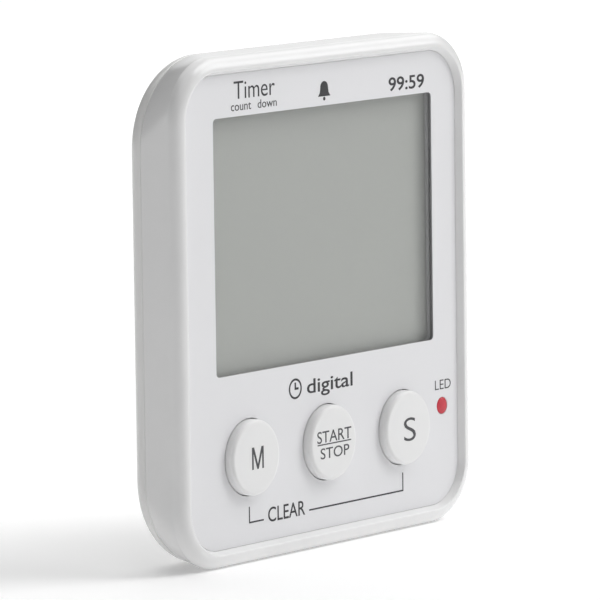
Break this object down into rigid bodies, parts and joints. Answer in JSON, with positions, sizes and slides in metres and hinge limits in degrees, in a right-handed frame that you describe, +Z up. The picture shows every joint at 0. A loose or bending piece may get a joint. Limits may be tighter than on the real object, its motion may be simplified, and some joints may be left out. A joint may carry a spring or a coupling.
{
  "type": "digital timer",
  "caption": "Upright digital timer with a rounded white case, a large rectangular display, round push buttons and a red lamp.",
  "frame": {"origin": "under the middle of the timer, on the plane of its sole", "axes": "+X to the right across the face, +Y from the face to the back, +Z up"},
  "size_m": [0.101, 0.0156, 0.107],
  "materials": {
    "white_abs": "smooth moulded, soft gloss",
    "white_abs_back": "fine moulded texture",
    "printed_face": "smooth printed film, low sheen",
    "legend_ink": "screen-printed ink",
    "clear_window": "clear acrylic",
    "lcd_glass": "anti-glare polariser",
    "frame_plastic": "moulded",
    "reflector_film": "satin film",
    "zebra_rubber": "layered elastomer",
    "board_laminate": "solder mask",
    "chip_resin": "cast epoxy",
    "tinned_metal": "tinned",
    "capacitor_ceramic": "fired",
    "keypad_silicone": "moulded silicone",
    "button_abs": "smooth moulded",
    "carbon_rubber": "carbon-filled",
    "red_lamp": "tinted epoxy",
    "buzzer_brass": "rolled",
    "buzzer_ceramic": "silvered",
    "wire_sleeve": "extruded",
    "cell_steel": "nickel-plated",
    "contact_metal": "plated spring strip",
    "pin_steel": "drawn wire",
    "magnet_metal": "nickel-plated",
    "screw_steel": "zinc-plated"
  },
  "bodies": {
    "case": {"front_housing": "white_abs", "rear_housing": "white_abs_back", "face_panel": "printed_face", "display_window": "clear_window", "lcd_cell": "lcd_glass", "lcd_frame": "frame_plastic", "lcd_reflector": "reflector_film", "zebra_strip": "zebra_rubber", "circuit_board": "board_laminate", "controller_chip": "chip_resin", "quartz_crystal": "tinned_metal", "chip_capacitors": "capacitor_ceramic", "chip_resistors": "chip_resin", "keypad_mat": "keypad_silicone", "led_lamp": "red_lamp", "led_leads": "tinned_metal", "buzzer_disc": "buzzer_brass", "buzzer_ceramic": "buzzer_ceramic", "buzzer_wires": "wire_sleeve", "coin_cell": "cell_steel", "positive_contact": "contact_metal", "negative_contact": "contact_metal", "stand_pin": "pin_steel", "magnets": "magnet_metal", "case_screws": "screw_steel", "board_screws": "screw_steel"},
    "minutes_key": {"minutes_button": "button_abs", "minutes_contact": "carbon_rubber"},
    "start_stop_key": {"start_stop_button": "button_abs", "start_stop_contact": "carbon_rubber"},
    "seconds_key": {"seconds_button": "button_abs", "seconds_contact": "carbon_rubber"},
    "door": {"battery_door": "white_abs_back"},
    "leg": {"stand_leg": "white_abs_back"}
  },
  "joints": [
    {"name": "minutes_press", "type": "slide", "parent": "case", "child": "minutes_key", "axis": [0, 1, 0], "range_m": [0, 0.0008], "stiffness_N_per_m": 800, "springref_m": -0.001, "deforming": ["keypad_mat"]},
    {"name": "start_stop_press", "type": "slide", "parent": "case", "child": "start_stop_key", "axis": [0, 1, 0], "range_m": [0, 0.0008], "stiffness_N_per_m": 800, "springref_m": -0.001, "deforming": ["keypad_mat"]},
    {"name": "seconds_press", "type": "slide", "parent": "case", "child": "seconds_key", "axis": [0, 1, 0], "range_m": [0, 0.0008], "stiffness_N_per_m": 800, "springref_m": -0.001, "deforming": ["keypad_mat"]},
    {"name": "leg_fold", "type": "hinge", "parent": "case", "child": "leg", "pos_m": [0, 0.0057, 0.057], "axis": [1, 0, 0], "range_deg": [0, 60]},
    {"name": "door_turn", "type": "hinge", "parent": "case", "child": "door", "pos_m": [0, 0.0078, 0.08], "axis": [0, 1, 0], "range_deg": [0, 50]}
  ]
}
